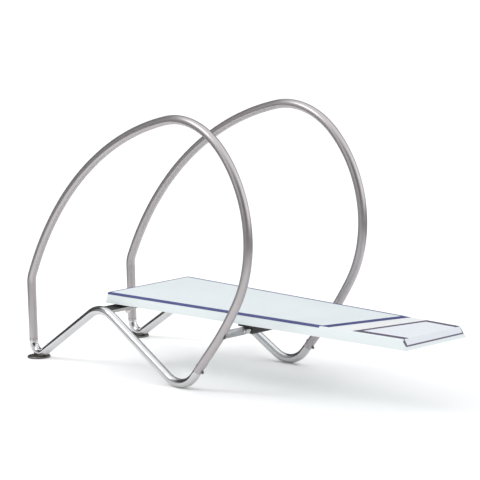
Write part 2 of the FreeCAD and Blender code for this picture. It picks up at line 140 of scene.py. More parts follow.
def makeSpeckGroup():
    # scattered spots: 1 inside a small radius round random points, 0 outside, for a share of the points
    group, source, sink = startGroup("scatteredSpots", {"Vector": None, "Spacing": 0.03, "Amount": 0.12},
                                     ["Spots"])
    scale = math2(group, "DIVIDE", 1.0, source.outputs["Spacing"])
    points = addNode(group, "ShaderNodeTexVoronoi", Vector=source.outputs["Vector"], Scale=scale)
    near = math2(group, "LESS_THAN", points.outputs["Distance"], source.outputs["Amount"])
    chance = addNode(group, "ShaderNodeSeparateColor", Color=points.outputs["Color"])
    some = math2(group, "GREATER_THAN", chance.outputs[1], 1 - effects["spotShare"])
    group.links.new(math2(group, "MULTIPLY", near, some), sink.inputs["Spots"])
    return group


def makeGroundGroup():
    # splash marks that fade with height above the floor: (1 - z / Height) times a cloud
    group, source, sink = startGroup("groundGrime", {"Vector": None, "Height": 0.1}, ["Grime"])
    place = addNode(group, "ShaderNodeSeparateXYZ", Vector=source.outputs["Vector"])
    level = math2(group, "DIVIDE", place.outputs["Z"], source.outputs["Height"])
    low = math2(group, "SUBTRACT", 1.0, level, True)
    noise = addNode(group, "ShaderNodeTexNoise", Vector=source.outputs["Vector"],
                    Scale=effects["grimeScale"], Detail=5.0, Roughness=0.65)
    patchy = math2(group, "MULTIPLY", noise.outputs["Fac"], effects["grimeGain"], True)
    group.links.new(math2(group, "MULTIPLY", low, patchy), sink.inputs["Grime"])
    return group


cloudGroup = makeCloudGroup()
brushGroup = makeBrushGroup()
gritGroup = makeGritGroup()
speckGroup = makeSpeckGroup()
groundGroup = makeGroundGroup()


def mixColour(tree, factor, first, second):
    node = addNode(tree, "ShaderNodeMix", {"data_type": "RGBA"}, i0=factor)
    for index, value in ((6, first), (7, second)):
        if isinstance(value, bpy.types.NodeSocket):
            tree.links.new(value, node.inputs[index])
        else:
            node.inputs[index].default_value = (*value, 1.0)
    return node.outputs[2]


def mixValue(tree, factor, low, high):
    return addNode(tree, "ShaderNodeMapRange", Value=factor, To_Min=low, To_Max=high).outputs[0]


def makeFinish(name, look):
    # one procedural finish: clouded colour, spots, grime near the floor, uneven roughness and a fine relief
    material = bpy.data.materials.new(name)
    material.use_nodes = True
    tree = material.node_tree
    shader = tree.nodes["Principled BSDF"]
    coordinates = addNode(tree, "ShaderNodeTexCoord")
    place = coordinates.outputs["Object"]
    surface = coordinates.outputs["UV"] if look.get("followsUv") else place
    clouds = useGroup(tree, cloudGroup, Vector=place, Size=look["cloudSize"],
                      Contrast=look["cloudContrast"])
    colour = mixColour(tree, clouds.outputs["Cloud"], look["colour"], look["cloudColour"])
    smudges = useGroup(tree, cloudGroup, Vector=place, Size=look["smudgeSize"],
                       Contrast=effects["smudgeContrast"])
    roughness = mixValue(tree, smudges.outputs["Cloud"], *look["roughness"])
    heights = []
    if "brush" in look:
        lines = useGroup(tree, brushGroup, Vector=surface, Across=look["brush"][0], Along=look["brush"][1])
        heights.append((lines.outputs["Lines"], look["brush"][2], look["brush"][3]))
    if "grit" in look:
        grit = useGroup(tree, gritGroup, Vector=place, Size=look["grit"][0])
        heights.append((grit.outputs["Height"], look["grit"][1], look["grit"][2]))
        share = math2(tree, "MULTIPLY", grit.outputs["Tint"], look["grit"][3])
        colour = mixColour(tree, share, colour, look["gritColour"])
    if "spots" in look:
        spots = useGroup(tree, speckGroup, Vector=place, Spacing=look["spots"][0], Amount=look["spots"][1])
        share = math2(tree, "MULTIPLY", spots.outputs["Spots"], look["spots"][2])
        colour = mixColour(tree, share, colour, look["spotColour"])
    if "grime" in look:
        grime = useGroup(tree, groundGroup, Vector=place, Height=look["grime"][0])
        share = math2(tree, "MULTIPLY", grime.outputs["Grime"], look["grime"][1])
        colour = mixColour(tree, share, colour, look["grimeColour"])
        added = math2(tree, "MULTIPLY", share, effects["grimeRoughness"])
        roughness = math2(tree, "ADD", roughness, added, True)
    if "waves" in look:
        waves = useGroup(tree, cloudGroup, Vector=place, Size=look["waves"][0], Contrast=1.0)
        heights.append((waves.outputs["Cloud"], look["waves"][1], look["waves"][2]))
    normal = None
    for height, strength, distance in heights:
        bump = addNode(tree, "ShaderNodeBump", Strength=strength, Distance=distance, Height=height)
        if normal is not None:
            tree.links.new(normal, bump.inputs["Normal"])
        normal = bump.outputs["Normal"]
    tree.links.new(colour, shader.inputs["Base Color"])
    tree.links.new(roughness, shader.inputs["Roughness"])
    if normal is not None:
        tree.links.new(normal, shader.inputs["Normal"])
    shader.inputs["Metallic"].default_value = look.get("metallic", 0.0)
    for socket, value in look.get("shader", {}).items():
        shader.inputs[socket].default_value = value
    return material


# finishes: each is one dictionary of what may be changed. Sizes are in metres; brush is (lines per metre
# across, along, bump strength, depth), grit (grain size, strength, depth, tint), spots (spacing, radius
# share, strength), grime (height, strength) and waves (size, strength, depth)

satinTubeLook = {
    "colour": (0.47, 0.442, 0.452), "cloudColour": (0.43, 0.405, 0.413), "cloudSize": 0.25,
    "cloudContrast": 1.6, "smudgeSize": 0.05, "roughness": (0.28, 0.36), "metallic": 0.80,
    "followsUv": True,
    "brush": (2200.0, 18.0, 0.14, 0.00008),
    "spots": (0.05, 0.035, 0.35), "spotColour": (0.36, 0.35, 0.34),
}
polishedTubeLook = {
    "colour": (0.63, 0.63, 0.645), "cloudColour": (0.565, 0.565, 0.577), "cloudSize": 0.12,
    "cloudContrast": 1.5, "smudgeSize": 0.035, "roughness": (0.05, 0.10), "metallic": 1.0,
    "followsUv": True,
    "brush": (3000.0, 12.0, 0.08, 0.00005),
    "grime": (0.07, 0.35), "grimeColour": (0.30, 0.28, 0.24),
    "spots": (0.03, 0.05, 0.25), "spotColour": (0.45, 0.44, 0.42),
}
# on the fulcrum stubs this darker grey is painted shade, standing in for the shade that falls on them under
# the board
plainSteelLook = {
    "colour": (0.46, 0.46, 0.47), "cloudColour": (0.36, 0.36, 0.37), "cloudSize": 0.04,
    "cloudContrast": 1.8, "smudgeSize": 0.02, "roughness": (0.32, 0.48), "metallic": 1.0,
    "waves": (0.004, 0.2, 0.0003),
}
crossbarSteelLook = {
    "colour": (0.52, 0.51, 0.50), "cloudColour": (0.38, 0.37, 0.365), "cloudSize": 0.08,
    "cloudContrast": 1.8, "smudgeSize": 0.03, "roughness": (0.16, 0.30), "metallic": 1.0,
    "brush": (1800.0, 40.0, 0.15, 0.0001),
    "spots": (0.02, 0.06, 0.4), "spotColour": (0.12, 0.11, 0.10),
}
fastenerSteelLook = {
    "colour": (0.74, 0.73, 0.71), "cloudColour": (0.62, 0.61, 0.60), "cloudSize": 0.01,
    "cloudContrast": 1.5, "smudgeSize": 0.006, "roughness": (0.12, 0.24), "metallic": 1.0,
    "waves": (0.002, 0.12, 0.0001),
}
darkFastenerLook = {
    "colour": (0.16, 0.155, 0.15), "cloudColour": (0.24, 0.23, 0.22), "cloudSize": 0.008,
    "cloudContrast": 1.8, "smudgeSize": 0.005, "roughness": (0.28, 0.45), "metallic": 1.0,
    "waves": (0.002, 0.2, 0.0002),
}
footMetalLook = {
    "colour": (0.17, 0.165, 0.155), "cloudColour": (0.29, 0.28, 0.26), "cloudSize": 0.03,
    "cloudContrast": 2.4, "smudgeSize": 0.015, "roughness": (0.22, 0.50), "metallic": 1.0,
    "grit": (0.0016, 0.25, 0.0003, 0.10), "gritColour": (0.05, 0.05, 0.05),
    "grime": (0.012, 0.6), "grimeColour": (0.07, 0.065, 0.055),
}
blackRubberLook = {
    "colour": (0.016, 0.016, 0.017), "cloudColour": (0.030, 0.030, 0.031), "cloudSize": 0.04,
    "cloudContrast": 1.8, "smudgeSize": 0.012, "roughness": (0.62, 0.85),
    "grit": (0.0011, 0.35, 0.0002, 0.12), "gritColour": (0.06, 0.06, 0.06),
    "shader": {"Specular IOR Level": 0.35},
}
blackPlasticLook = {
    "colour": (0.020, 0.020, 0.022), "cloudColour": (0.034, 0.034, 0.036), "cloudSize": 0.05,
    "cloudContrast": 1.6, "smudgeSize": 0.02, "roughness": (0.34, 0.52),
    "grit": (0.0016, 0.30, 0.00025, 0.06), "gritColour": (0.07, 0.07, 0.07),
    "spots": (0.03, 0.05, 0.3), "spotColour": (0.10, 0.10, 0.10),
}
whiteGelcoatLook = {
    "colour": (0.66, 0.71, 0.72), "cloudColour": (0.65, 0.70, 0.71), "cloudSize": 0.35,
    "cloudContrast": 1.3, "smudgeSize": 0.08, "roughness": (0.34, 0.42),
    "waves": (0.20, 0.02, 0.0003),
    "spots": (0.006, 0.02, 0.20), "spotColour": (0.66, 0.68, 0.68),
    "shader": {"Coat Weight": 0.12, "Coat Roughness": 0.2},
}
bandGelcoatLook = dict(whiteGelcoatLook, colour=(0.86, 0.87, 0.88), cloudColour=(0.84, 0.855, 0.865))
treadGritLook = {
    "colour": (0.63, 0.680, 0.695), "cloudColour": (0.605, 0.660, 0.678), "cloudSize": 0.18,
    "cloudContrast": 1.6, "smudgeSize": 0.06, "roughness": (0.62, 0.82),
    "grit": (0.0022, 0.55, 0.0006, 0.22), "gritColour": (0.78, 0.83, 0.85),
    "spots": (0.012, 0.05, 0.25), "spotColour": (0.50, 0.56, 0.60),
}
tipGritLook = {
    "colour": (0.655, 0.68, 0.73), "cloudColour": (0.63, 0.66, 0.71), "cloudSize": 0.12,
    "cloudContrast": 1.6, "smudgeSize": 0.05, "roughness": (0.60, 0.80),
    "grit": (0.0022, 0.55, 0.0006, 0.22), "gritColour": (0.80, 0.82, 0.87),
    "spots": (0.012, 0.05, 0.25), "spotColour": (0.52, 0.55, 0.62),
}
navyLineLook = {
    "colour": (0.040, 0.050, 0.175), "cloudColour": (0.052, 0.063, 0.205), "cloudSize": 0.05,
    "cloudContrast": 1.6, "smudgeSize": 0.02, "roughness": (0.36, 0.52),
    "grit": (0.0022, 0.30, 0.0003, 0.14), "gritColour": (0.10, 0.12, 0.34),
    "spots": (0.02, 0.06, 0.5), "spotColour": (0.30, 0.33, 0.48),
}
darkLineLook = {
    "colour": (0.085, 0.070, 0.120), "cloudColour": (0.11, 0.095, 0.15), "cloudSize": 0.04,
    "cloudContrast": 1.6, "smudgeSize": 0.02, "roughness": (0.40, 0.55),
    "grit": (0.0022, 0.30, 0.0003, 0.14), "gritColour": (0.17, 0.15, 0.22),
    "spots": (0.02, 0.06, 0.5), "spotColour": (0.36, 0.35, 0.42),
}
coreWoodLook = {
    "colour": (0.52, 0.36, 0.20), "cloudColour": (0.40, 0.26, 0.13), "cloudSize": 0.05,
    "cloudContrast": 2.0, "smudgeSize": 0.02, "roughness": (0.55, 0.75),
    "brush": (12.0, 600.0, 0.35, 0.0004),
}

finishes = {
    "satin_tube": makeFinish("satinTube", satinTubeLook),
    "polished_tube": makeFinish("polishedTube", polishedTubeLook),
    "plain_steel": makeFinish("plainSteel", plainSteelLook),
    "crossbar_steel": makeFinish("crossbarSteel", crossbarSteelLook),
    "fastener_steel": makeFinish("fastenerSteel", fastenerSteelLook),
    "dark_fastener": makeFinish("darkFastener", darkFastenerLook),
    "foot_metal": makeFinish("footMetal", footMetalLook),
    "black_rubber": makeFinish("blackRubber", blackRubberLook),
    "black_plastic": makeFinish("blackPlastic", blackPlasticLook),
    "white_gelcoat": makeFinish("whiteGelcoat", whiteGelcoatLook),
    "tread_grit": makeFinish("treadGrit", treadGritLook),
    "tip_grit": makeFinish("tipGrit", tipGritLook),
    "navy_line": makeFinish("navyLine", navyLineLook),
    "dark_line": makeFinish("darkLine", darkLineLook),
    "core_wood": makeFinish("coreWood", coreWoodLook),
}
print("finishes made,", len(finishes))

slotOf = {}
for nodeName, node in nodes.items():
    for materialSlot in node.material_slots:
        slotOf[nodeName] = materialSlot.material.name
        materialSlot.material = finishes[slotOf[nodeName]]
nodes["white_band"].material_slots[0].material = makeFinish("bandGelcoat", bandGelcoatLook)
print("finishes given to", len(nodes), "nodes")


# surfaces from grids

plateBorder = 0.001  # how far a flat cap's last ring lies inside the rounded edge round it


def closeRows(index, loopRows):
    # a grid's indices with the first column repeated after the last, and the first row too if rows loop
    wrapped = np.vstack([index, index[:1]]) if loopRows else index
    return np.hstack([wrapped, wrapped[:, :1]])


def fanVolume(points, ring):
    # six times the volume between the origin and a fan of triangles: the sum of a . (b x c)
    a, b, c = points[ring[0]], points[ring[1:-1]], points[ring[2:]]
    return np.sum(a * np.cross(b, c))


def gridFaces(points, loopRows, capped):
    # quads between neighbouring rows and columns of a grid whose columns close into rings, and a face
    # over each open end; all are turned over if they enclose a negative volume
    rows, columns = points.shape[:2]
    flat = points.reshape(-1, 3)
    index = np.arange(rows * columns).reshape(rows, columns)
    wrapped = closeRows(index, loopRows)
    corners = [wrapped[:-1, :-1], wrapped[:-1, 1:], wrapped[1:, 1:], wrapped[1:, :-1]]
    quads = np.stack(corners, -1).reshape(-1, 4)
    a, b, c, d = (flat[quads[:, k]] for k in range(4))
    volume = np.sum(a * np.cross(b, c)) + np.sum(a * np.cross(c, d))
    caps = []
    if capped:
        caps = [index[0][::-1], index[-1]]
        volume += sum(fanVolume(flat, cap) for cap in caps)
    lengthAround = np.linalg.norm(np.diff(flat[closeRows(index, False)[rows // 2]], axis=0), axis=1)
    lengthAlong = np.linalg.norm(np.diff(flat[wrapped[:, 0]], axis=0), axis=1)
    around = np.concatenate([[0.0], np.cumsum(lengthAround)])
    along = np.concatenate([[0.0], np.cumsum(lengthAlong)])
    uvGrid = np.stack(np.meshgrid(around, along), -1)
    uvCorners = [uvGrid[:-1, :-1], uvGrid[:-1, 1:], uvGrid[1:, 1:], uvGrid[1:, :-1]]
    uvs = np.stack(uvCorners, 2).reshape(-1, 4, 2)
    if volume < 0:
        quads, uvs, caps = quads[:, ::-1], uvs[:, ::-1], [cap[::-1] for cap in caps]
    capUvs = [flat[cap][:, :2] for cap in caps]
    return flat, quads, caps, np.concatenate([uvs.reshape(-1, 2)] + capUvs)


def makePiece(name, patches, body, slot, replaced=(), sharpAngle=38):
    # one object from closed grid patches, each given as (points, loopRows, capped)
    allPoints, allFaces, allUvs, start = [], [], [], 0
    for points, loopRows, capped in patches:
        flat, quads, caps, uvs = gridFaces(np.asarray(points, float), loopRows, capped)
        allPoints.append(flat)
        allFaces += (quads + start).tolist() + [(cap + start).tolist() for cap in caps]
        allUvs.append(uvs)
        start += len(flat)
    mesh = bpy.data.meshes.new(name)
    mesh.from_pydata(np.concatenate(allPoints).tolist(), [], allFaces)
    layer = mesh.uv_layers.new(name="surface")
    layer.data.foreach_set("uv", np.concatenate(allUvs).astype(np.float32).ravel())
    edit = bmesh.new()
    edit.from_mesh(mesh)
    bmesh.ops.remove_doubles(edit, verts=edit.verts, dist=1e-6)  # closes poles
    edit.to_mesh(mesh)
    edit.free()
    mesh.shade_smooth()
    mesh.set_sharp_from_angle(angle=math.radians(sharpAngle))
    mesh.materials.append(finishes[slot])
    piece = bpy.data.objects.new(name, mesh)
    bpy.context.scene.collection.objects.link(piece)
    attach(piece, body)
    if replaced:
        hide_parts(*replaced)
    return piece


def ringRows(centres, sideways, upward, radii, around):
    # rings round a line: centre + radius * (cos * sideways + sin * upward)
    angle = np.linspace(0, 2 * math.pi, around, endpoint=False)
    radii = np.asarray(radii, float)
    if radii.ndim == 1:
        radii = radii[:, None]
    spoke = (np.cos(angle)[None, :, None] * sideways[:, None, :]
             + np.sin(angle)[None, :, None] * upward[:, None, :])
    return centres[:, None, :] + radii[:, :, None] * spoke


def turned(base, axis, profile, around=32, shape=None):
    # a profile of (radius, height) turned about an axis; shape, if given, holds the radii by height and angle
    axis = np.asarray(axis, float) / np.linalg.norm(axis)
    helper = np.array([0.0, 1.0, 0.0]) if abs(axis[1]) < 0.9 else np.array([1.0, 0.0, 0.0])
    sideways = np.cross(helper, axis)
    sideways = sideways / np.linalg.norm(sideways)
    upward = np.cross(axis, sideways)
    profile = np.asarray(profile, float)
    centres = np.asarray(base, float) + profile[:, 1:2] * axis
    count = len(profile)
    radii = profile[:, 0:1] if shape is None else shape
    return ringRows(centres, np.tile(sideways, (count, 1)), np.tile(upward, (count, 1)),
                    np.broadcast_to(radii, (count, around)), around)


def arcFan(corners, radius, steps):
    # arcs that round a closed outline's corners: their centres, and unit directions out from them
    corners = np.asarray(corners, float)
    back = np.roll(corners, 1, 0) - corners
    ahead = np.roll(corners, -1, 0) - corners
    back = back / np.linalg.norm(back, axis=1, keepdims=True)
    ahead = ahead / np.linalg.norm(ahead, axis=1, keepdims=True)
    half = 0.5 * np.arccos(np.clip(np.sum(back * ahead, 1), -1, 1))[:, None]
    middle = (back + ahead) / np.linalg.norm(back + ahead, axis=1, keepdims=True)
    centre = corners + middle * radius / np.sin(half)
    first = (corners + back * radius / np.tan(half) - centre) / radius
    last = (corners + ahead * radius / np.tan(half) - centre) / radius
    share = np.linspace(0, 1, steps + 1)[None, :, None]
    turn = (math.pi - 2 * half)[:, None, :]
    blend = np.sin((1 - share) * turn) * first[:, None] + np.sin(share * turn) * last[:, None]
    direction = blend / np.sin(turn)
    centre = np.repeat(centre[:, None], steps + 1, 1)
    return centre.reshape(-1, 2), direction.reshape(-1, 2)


def slab(corners, cornerRadius, low, high, edge, steps=4):
    # a flat plate: its rounded outline, drawn in by edge * (1 - sin) where the rim turns over
    centre, direction = arcFan(corners, cornerRadius, 6)
    turn = np.linspace(0, math.pi / 2, steps + 1)
    rim = edge * (1 - np.sin(turn))
    rise = edge * (1 - np.cos(turn))
    border = min(plateBorder, (cornerRadius - edge) / 2)
    inset = np.concatenate([[edge + border], rim, rim[::-1], [edge + border]])
    height = np.concatenate([[low], low + rise, (high - rise)[::-1], [high]])
    plan = centre[None] + (cornerRadius - inset)[:, None, None] * direction[None]
    level = np.broadcast_to(height[:, None, None], plan.shape[:2] + (1,))
    return np.concatenate([plan, level], -1)


# stand tubes

standTube = {
    "radius": 0.0215,
    "wall": 0.0025,
    "toeOut": 1.65,
    "postSetback": 0.037,
    "seamHeight": 0.082,
    "endRounding": 0.0008,
    "rowSpacing": 0.009,
    "around": 48,
}
baseTube = {
    "seamAboveBend": 0.005,
    "rearBend": 0.053,
    "rampAngle": 32.5,
    "peakBend": 0.155,
    "descentAngle": 30.7,
    "frontBend": 0.157,
    "frontBendAt": 1.063,
    "riserAngle": 48.0,
    "riserLength": 0.034,
}
hoopTube = {
    "bends": ((0.120, 25.3), (1.550, 51.7), (0.412, 57.4), (0.564, 78.5)),
    "lowerBend": 1.853,
}
soleLow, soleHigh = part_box("foot_sole_left")
feetX = (soleLow[0] + soleHigh[0]) / 2
halfSpacing = (soleLow[1] + soleHigh[1]) / 2


def headingVector(degrees):
    # the unit vector (cos, sin) of a heading
    return np.array([math.cos(math.radians(degrees)), math.sin(math.radians(degrees))])


def bendPath(start, heading, moves):
    # places and headings along straight runs and bends in the XZ plane; each move is (run, radius, turn),
    # and a point of a bend is its centre + radius * (sin, -cos) of the heading there
    place, angle = np.array(start, float), math.radians(heading)
    places, angles = [place[None]], [np.array([angle])]
    spacing = standTube["rowSpacing"]
    for run, radius, turn in moves:
        if run > 0:
            along = np.linspace(0, run, max(2, round(run / spacing) + 1))[1:, None]
            direction = np.array([math.cos(angle), math.sin(angle)])
            places.append(place + along * direction)
            angles.append(np.full(len(along), angle))
            place = place + run * direction
        if turn:
            turning = math.radians(turn)
            count = max(6, round(abs(turning) * radius / spacing) + 1)
            bend = angle + np.linspace(0, turning, count)[1:]
            reach = math.copysign(radius, turn)
            centre = place + reach * np.array([-math.sin(angle), math.cos(angle)])
            arc = centre + reach * np.stack([np.sin(bend), -np.cos(bend)], 1)
            places.append(arc)
            angles.append(bend)
            place, angle = arc[-1], bend[-1]
    return np.concatenate(places), np.concatenate(angles)


def twoRuns(gap, firstHeading, secondHeading):
    # the lengths along two headings that together cover the gap
    return np.linalg.solve(np.stack([headingVector(firstHeading), headingVector(secondHeading)], 1), gap)


def baseMoves(rampRun, descentRun, lastTurn, riserRun):
    # the base tube from the rear post's seam: foot bend, ramp and peak, descent and front bend, riser
    tube = baseTube
    return [
        (tube["seamAboveBend"], tube["rearBend"], 90 + tube["rampAngle"]),
        (rampRun, tube["peakBend"], -tube["rampAngle"] - tube["descentAngle"]),
        (descentRun, tube["frontBend"], lastTurn),
        (riserRun, 0, 0),
    ]


def hoopMoves(postRun, legRun):
    # the hoop from the same seam: up the post, over in five bends, and down to the riser. The last bend
    # turns what the others leave of the half turn
    bends = [(0, radius, -turn) for radius, turn in hoopTube["bends"]]
    bends[0] = (postRun,) + bends[0][1:]
    turnedSoFar = sum(turn for radius, turn in hoopTube["bends"])
    lowerTurn = 270 - baseTube["riserAngle"] - turnedSoFar
    return bends + [(0, hoopTube["lowerBend"], -lowerTurn), (legRun, 0, 0)]


rearSeam = np.array([-standTube["postSetback"], standTube["seamHeight"]])
valley = np.array([baseTube["frontBendAt"], standTube["radius"]])
descent = baseTube["descentAngle"]
shortEnd = bendPath(rearSeam, -90, baseMoves(0, 0, descent, 0))[0][-1]
rampRun, descentRun = twoRuns(valley - shortEnd, baseTube["rampAngle"], -descent)
lastTurn = descent + baseTube["riserAngle"]
baseRoute = baseMoves(rampRun, descentRun, lastTurn, baseTube["riserLength"])
basePlaces, baseAngles = bendPath(rearSeam, -90, baseRoute)
frontSeam = basePlaces[-1]
shortEnd = bendPath(rearSeam, 90, hoopMoves(0, 0))[0][-1]
postRun, legRun = twoRuns(frontSeam - shortEnd, 90, baseTube["riserAngle"] - 180)
hoopPlaces, hoopAngles = bendPath(rearSeam, 90, hoopMoves(postRun, legRun))


def standSide(points, side):
    # turns points drawn about the XZ plane outwards and sets them at the left (+1) or right (-1) foot
    turn = math.radians(side * standTube["toeOut"])
    x, y, z = points[..., 0], points[..., 1], points[..., 2]
    turnedX = x * math.cos(turn) - y * math.sin(turn) + feetX
    turnedY = x * math.sin(turn) + y * math.cos(turn) + side * halfSpacing
    return np.stack([turnedX, turnedY, z], -1)


def tubeWall(places, angles, side):
    # a tube wall along a path: out along the outer face, over a rounded end, back along the bore, closed
    outer, inner = standTube["radius"], standTube["radius"] - standTube["wall"]
    soft = standTube["endRounding"]
    turn = np.linspace(0, math.pi / 2, 4)[1:]
    tangent = np.stack([np.cos(angles), np.sin(angles)], 1)
    drawnIn, drawnBack = soft * (1 - np.cos(turn)), soft * (1 - np.sin(turn))
    endRadii = np.concatenate([outer - drawnIn, (inner + drawnIn)[::-1]])
    endBack = np.concatenate([drawnBack, drawnBack[::-1]])
    inside = slice(1, -1)
    first = places[0] + endBack[:, None] * tangent[0]
    last = places[-1] - endBack[:, None] * tangent[-1]
    startPlace = places[0] + soft * tangent[0]
    endPlace = places[-1] - soft * tangent[-1]
    run = np.concatenate([startPlace[None], places[inside], endPlace[None]])
    flat = np.concatenate([run, last, run[::-1], first[::-1]])
    endCount = len(endBack)
    heading = np.concatenate([angles, np.full(endCount, angles[-1]), angles[::-1],
                              np.full(endCount, angles[0])])
    count = len(angles)
    radii = np.concatenate([np.full(count, outer), endRadii, np.full(count, inner), endRadii[::-1]])
    zero = np.zeros(len(flat))
    centres = np.stack([flat[:, 0], zero, flat[:, 1]], 1)
    sideways = np.tile([0.0, 1.0, 0.0], (len(flat), 1))
    upward = np.stack([-np.sin(heading), zero, np.cos(heading)], 1)
    points = ringRows(centres, sideways, upward, radii, standTube["around"])
    return standSide(points, side), True, False


for side, word in ((1, "left"), (-1, "right")):
    makePiece("hoopRail." + word, [tubeWall(hoopPlaces, hoopAngles, side)], "stand", "satin_tube",
              ["hoop_" + word])
    makePiece("baseTube." + word, [tubeWall(basePlaces, baseAngles, side)], "stand", "polished_tube",
              ["base_tube_" + word])
print("stand tubes made")


# board shell

boardShape = {
    "height": 0.048,
    "rearHalf": 0.270,
    "tipHalf": 0.189,
    "sideDraft": 0.012,
    "rearSlant": 0.004,
    "noseSlant": 0.028,
    "corner": 0.018,
    "edge": 0.007,
    "wall": 0.004,
    "rim": 0.0008,
    "topBorder": 0.002,
    "cornerSteps": 10,
    "edgeSteps": 6,
}
boardLow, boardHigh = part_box("board_shell")
boardRear = boardLow[0] + boardShape["rearSlant"]
boardTip = boardHigh[0]
boardTop = boardHigh[2]
# slopes of the rear, right, nose and left faces: how far each leans out for each metre down
slopes = np.array([boardShape["rearSlant"], boardShape["sideDraft"], boardShape["noseSlant"],
                   boardShape["sideDraft"]]) / boardShape["height"]


def boardRing(outset, drop, radius):
    # one ring round the board: outset is how far each face lies outside the top edge, drop how far below it
    steps = boardShape["cornerSteps"]
    rear = boardRear - outset[0]
    front = boardTip - boardShape["noseSlant"] + outset[2]
    taper = (boardShape["tipHalf"] - boardShape["rearHalf"]) / (boardTip - boardRear)
    halfRear = boardShape["rearHalf"] + taper * (rear - boardRear)
    halfFront = boardShape["rearHalf"] + taper * (front - boardRear)
    corners = [(rear, -halfRear - outset[1]), (front, -halfFront - outset[1]),
               (front, halfFront + outset[3]), (rear, halfRear + outset[3])]
    centre, direction = arcFan(corners, radius, steps)
    share = np.tile(np.linspace(0, 1, steps + 1), 4)
    before = np.repeat(drop, steps + 1)
    after = np.repeat(np.roll(drop, -1), steps + 1)
    level = boardTop - (before * (1 - share) + after * share)
    return np.concatenate([centre + radius * direction, level[:, None]], 1)


def skirtRing(drop, shift, radius):
    # a level ring on the leaning faces, at slope * drop + shift outside the top edge
    return boardRing(slopes * drop + shift, np.full(4, drop), radius)


def topEdgeRing(share, radius):
    # the rounding between a leaning face and the flat top, share 0 at the face and 1 on the top
    lean = np.arctan(slopes)
    turn = lean + share * (math.pi / 2 - lean)
    inset = radius * (np.tan((math.pi / 2 - lean) / 2) - np.cos(turn))
    return boardRing(-inset, radius * (1 - np.sin(turn)), boardShape["corner"] - np.mean(inset))


def boardShellRows():
    # rings from the underside of the deck, down the inner faces, round the rim, up the outer faces and over
    # the rounded edge to the top
    shape = boardShape
    wall, rim, height = shape["wall"], shape["rim"], shape["height"]
    innerCorner = shape["corner"] - wall
    rows = [skirtRing(wall, -wall - plateBorder, innerCorner - plateBorder)]
    rows += [skirtRing(drop, -wall, innerCorner) for drop in (wall, height - rim)]
    turn = np.linspace(0, math.pi / 2, 4)
    for angle in turn[1:]:
        rows.append(skirtRing(height - rim * (1 - math.sin(angle)), -wall + rim * (1 - math.cos(angle)),
                              innerCorner + rim))
    for angle in turn:
        rows.append(skirtRing(height - rim * (1 - math.cos(angle)), -rim * (1 - math.sin(angle)),
                              shape["corner"]))
    rows.append(skirtRing(height / 2, 0.0, shape["corner"]))
    for share in np.linspace(0, 1, shape["edgeSteps"] + 1):
        rows.append(topEdgeRing(share, shape["edge"]))
    lastInset = shape["edge"] + shape["topBorder"]
    rows.append(boardRing(np.full(4, -lastInset), np.zeros(4), shape["corner"] - lastInset))
    return np.stack(rows)


makePiece("boardShell", [(boardShellRows(), False, True)], "board", "white_gelcoat", ["board_shell"])
print("board shell made")


# fasteners

fasteners = {
    "boltAboveSeam": 0.020,
    "boltHead": 0.015,
    "boltHeadHeight": 0.005,
    "boltShank": 0.008,
    "boltTail": 0.006,
    "boltNut": 0.013,
    "boltNutHeight": 0.008,
    "boltNutSink": 0.0008,
    "headSkirt": 0.0014,
    "rivet": 0.006,
    "rivetShank": 0.004,
    "rivetDepth": 0.005,
    "rivetSink": 0.0004,
    "rivetCount": 8,
    "rivetAboveSeam": 0.008,
    "rivetProud": 0.0006,
    "studNut": 0.019,
    "studNutHeight": 0.010,
    "stud": 0.012,
}
pinShape = {
    "shankEdge": 0.0004,
    "headEdge": 0.0003,
    "headBand": 0.0004,
    "domeInset": 0.0002,
    "domeStart": 0.0006,
}
# a dome nut's sizes: levels are shares of its height, cone of its corner radius, the rest of its width
nutShape = {
    "levels": (0.0, 0.08, 0.16, 0.84, 0.92, 1.0),
    "cone": (0.90, 0.955, 1.01, 1.01, 0.955, 0.90),
    "neckRadius": 0.455,
    "domeRadius": 0.44,
    "domeRise": 0.42,
}


def domeProfile(radius, height, rise, steps=8):
    # a quarter ellipse from the rim at the given height up to the pole
    turn = np.linspace(0, math.pi / 2, steps)
    return np.stack([radius * np.cos(turn), height + rise * np.sin(turn)], 1)


def domedPin(base, axis, shank, depth, head, skirt, height):
    # a round shank with a domed head; the head's skirt reaches down to meet a round tube
    shape = pinShape
    shankRadius, headRadius = shank / 2, head / 2
    shankEdge, headEdge = shape["shankEdge"], shape["headEdge"]
    profile = [(0, -depth), (shankRadius - shankEdge, -depth), (shankRadius, -depth + shankEdge),
               (shankRadius, -skirt), (headRadius - headEdge, -skirt), (headRadius, -skirt + headEdge),
               (headRadius, shape["headBand"])]
    rim = domeProfile(headRadius - shape["domeInset"], shape["domeStart"], height - shape["domeStart"])
    return turned(base, axis, np.concatenate([profile, rim]), 32), False, False


def hexRadius(around, acrossFlats):
    # from the middle to the side of a hexagon: half the width / cos(angle from the middle of that side)
    angle = np.linspace(0, 2 * math.pi, around, endpoint=False)
    offset = np.mod(angle, math.pi / 3) - math.pi / 6
    return acrossFlats / 2 / np.cos(offset)


def domeNut(base, axis, acrossFlats, height, around=48):
    # a closed nut: the smaller of a hexagon's and a cone's radius at each level, then a neck and a dome
    corner = acrossFlats / math.sqrt(3)
    levels = np.array(nutShape["levels"]) * height
    cone = np.array(nutShape["cone"]) * corner
    nutRadii = np.minimum(hexRadius(around, acrossFlats)[None], cone[:, None])
    neck = np.array([[nutShape["neckRadius"] * acrossFlats, height]])
    dome = domeProfile(nutShape["domeRadius"] * acrossFlats, height, nutShape["domeRise"] * acrossFlats)
    upper = np.concatenate([neck, dome])
    profile = np.concatenate([[[0.0, 0.0]], np.stack([cone, levels], 1), upper])
    radii = np.concatenate([np.zeros((1, around)), nutRadii, np.tile(upper[:, :1], (1, around))])
    return turned(base, axis, profile, around, radii), False, False


